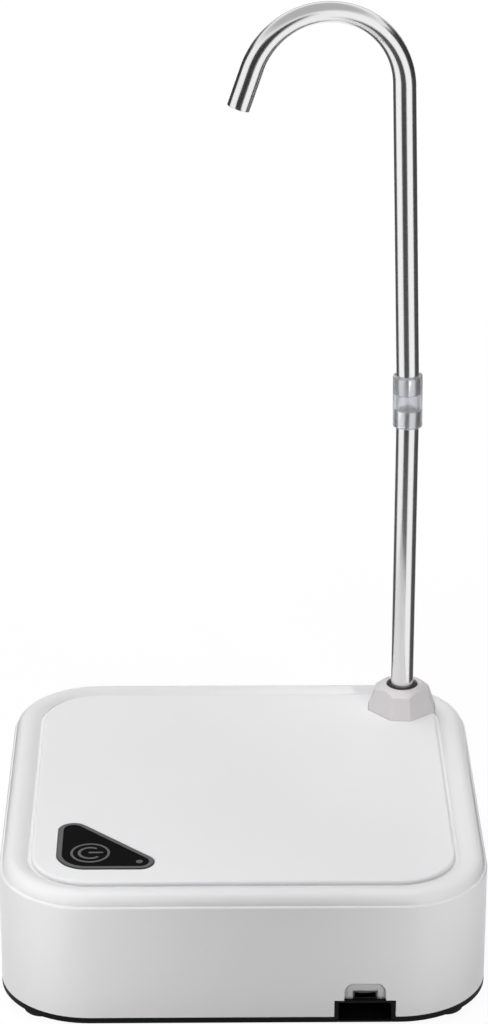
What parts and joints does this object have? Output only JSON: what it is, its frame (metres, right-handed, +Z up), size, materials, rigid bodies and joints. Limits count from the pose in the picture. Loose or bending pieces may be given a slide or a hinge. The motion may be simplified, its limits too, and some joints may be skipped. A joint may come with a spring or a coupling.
{
  "type": "electric water jug pump",
  "caption": "Rechargeable water pump: a square tray base with a power key and a hooked steel spout that draws water from a jug and pours it into a cup on the tray.",
  "frame": {"origin": "on the floor under the middle of the square base", "axes": "+Z up along the spout, -Y out of the front with the USB socket and the hose channel, +X to the right seen from the front"},
  "size_m": [0.16, 0.16, 0.3072],
  "materials": {
    "white_shell": "white moulded ABS, satin gloss",
    "tray": "white moulded ABS, gloss",
    "collar": "pale grey moulded plastic",
    "black_base": "black moulded ABS, matt",
    "foot_rubber": "black rubber, matt",
    "fascia_black": "black acrylic, gloss",
    "bezel_grey": "dark grey moulded plastic, satin",
    "lens": "clear acrylic",
    "tube_steel": "polished stainless steel",
    "clear_silicone": "clear silicone",
    "seal_rubber": "dark silicone, matt",
    "hose": "milky silicone",
    "fitting": "dark moulded nylon",
    "nut_plastic": "grey moulded nylon",
    "gear_plastic": "natural acetal",
    "screw_steel": "zinc plated steel",
    "pin_steel": "ground steel",
    "can_steel": "nickel plated steel",
    "cap_plastic": "off-white nylon",
    "magnet": "sintered ferrite",
    "bronze": "sintered bronze and copper",
    "core_steel": "laminated steel",
    "copper": "enamelled copper wire",
    "cell_wrap": "blue sleeve on a lithium cell, which weighs about as much as solid aluminium",
    "board_green": "green circuit board",
    "chip_black": "black moulded parts",
    "plunger": "natural plastic",
    "lead": "insulated wire"
  },
  "bodies": {
    "base": {"base_plate": "black_base", "housing": "white_shell", "top_cover": "white_shell", "tray_panel": "tray", "rubber_feet": "foot_rubber", "base_screws": "screw_steel", "cover_screws": "screw_steel", "button_bezel": "bezel_grey", "button_fascia": "fascia_black", "led_lens": "lens", "button_board": "board_green", "tact_switch": "chip_black", "status_led": "plunger", "button_screws": "screw_steel", "spout_collar": "collar", "collar_nut": "nut_plastic", "collar_seal": "seal_rubber", "spout_elbow": "fitting", "elbow_o_ring": "seal_rubber", "hose_keeper": "black_base", "inlet_fitting": "fitting", "inlet_elbow": "fitting", "suction_hose": "hose", "delivery_hose": "hose", "hose_clips": "screw_steel", "pump_body": "fitting", "pump_gasket": "seal_rubber", "pump_cover": "fitting", "pump_screws": "screw_steel", "motor_screws": "screw_steel", "shaft_seal": "seal_rubber", "idler_pin": "pin_steel", "motor_can": "can_steel", "motor_end_cap": "cap_plastic", "motor_magnets": "magnet", "motor_bushes": "bronze", "motor_brushes": "bronze", "motor_clamp": "fitting", "battery_cell": "cell_wrap", "battery_tabs": "can_steel", "battery_clamp": "fitting", "clamp_screws": "screw_steel", "main_board": "board_green", "usb_socket": "can_steel", "board_parts": "chip_black", "lead_plugs": "cap_plastic", "board_screws": "screw_steel", "battery_leads": "lead", "motor_leads": "lead", "button_leads": "lead"},
    "key": {"power_button": "fascia_black", "switch_plunger": "plunger"},
    "spout": {"lower_tube": "tube_steel"},
    "sleeve": {"joint_sleeve": "clear_silicone"},
    "hook": {"hook_tube": "tube_steel"},
    "rotor": {"motor_shaft": "pin_steel", "motor_core": "core_steel", "motor_winding": "copper", "drive_gear": "gear_plastic"},
    "idler": {"idler_gear": "gear_plastic"}
  },
  "joints": [
    {"name": "key_press", "type": "slide", "parent": "base", "child": "key", "axis": [0, 0, -1], "range_m": [0, 0.0007], "stiffness_N_per_m": 2000},
    {"name": "spout_swivel", "type": "hinge", "parent": "base", "child": "spout", "pos_m": [0.0578, 0.0588, 0.05], "axis": [0, 0, 1], "continuous": true},
    {"name": "sleeve_swivel", "type": "hinge", "parent": "spout", "child": "sleeve", "pos_m": [0.0578, 0.0588, 0.158], "axis": [0, 0, 1], "continuous": true},
    {"name": "hook_lift", "type": "slide", "parent": "sleeve", "child": "hook", "axis": [-0.0297, 0, 0.9996], "range_m": [0, 0.012]},
    {"name": "motor_spin", "type": "hinge", "parent": "base", "child": "rotor", "pos_m": [0.0192, 0.0094, 0.0182], "axis": [1, 0, 0], "continuous": true},
    {"name": "idler_spin", "type": "hinge", "parent": "base", "child": "idler", "pos_m": [0.0392, 0.0094, 0.0302], "axis": [1, 0, 0], "continuous": true}
  ],
  "couplings": [
    {"joint": "idler_spin", "follows": "motor_spin", "ratio": -1}
  ]
}
